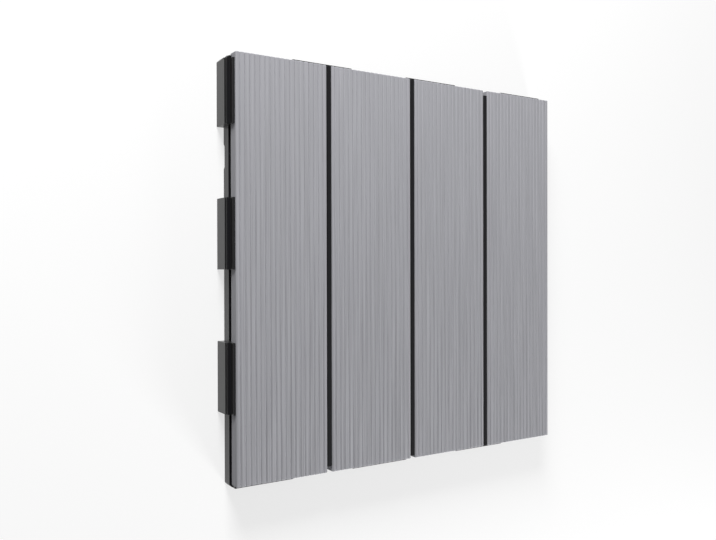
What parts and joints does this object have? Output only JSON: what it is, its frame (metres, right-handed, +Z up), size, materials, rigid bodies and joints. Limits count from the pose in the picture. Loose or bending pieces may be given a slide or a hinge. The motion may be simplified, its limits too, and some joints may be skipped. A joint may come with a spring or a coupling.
{
  "type": "interlocking deck tile",
  "caption": "Square interlocking deck tile: grooved grey composite slats screwed to a black moulded grid base with connector loops around its edge.",
  "frame": {"origin": "on the ground, under the middle of the tile", "axes": "+Z up through the slats; X across the slats; Y along the slats"},
  "size_m": [0.3048, 0.3048, 0.023],
  "materials": {
    "composite_slat": "matte grey wood-plastic composite, finely grooved and lightly brushed",
    "moulded_base": "black moulded polypropylene with a soft sheen",
    "zinc_screw": "zinc plated"
  },
  "bodies": {
    "root": {"base": "moulded_base", "slat_1": "composite_slat", "slat_2": "composite_slat", "slat_3": "composite_slat", "slat_4": "composite_slat", "screws": "zinc_screw"}
  },
  "joints": []
}
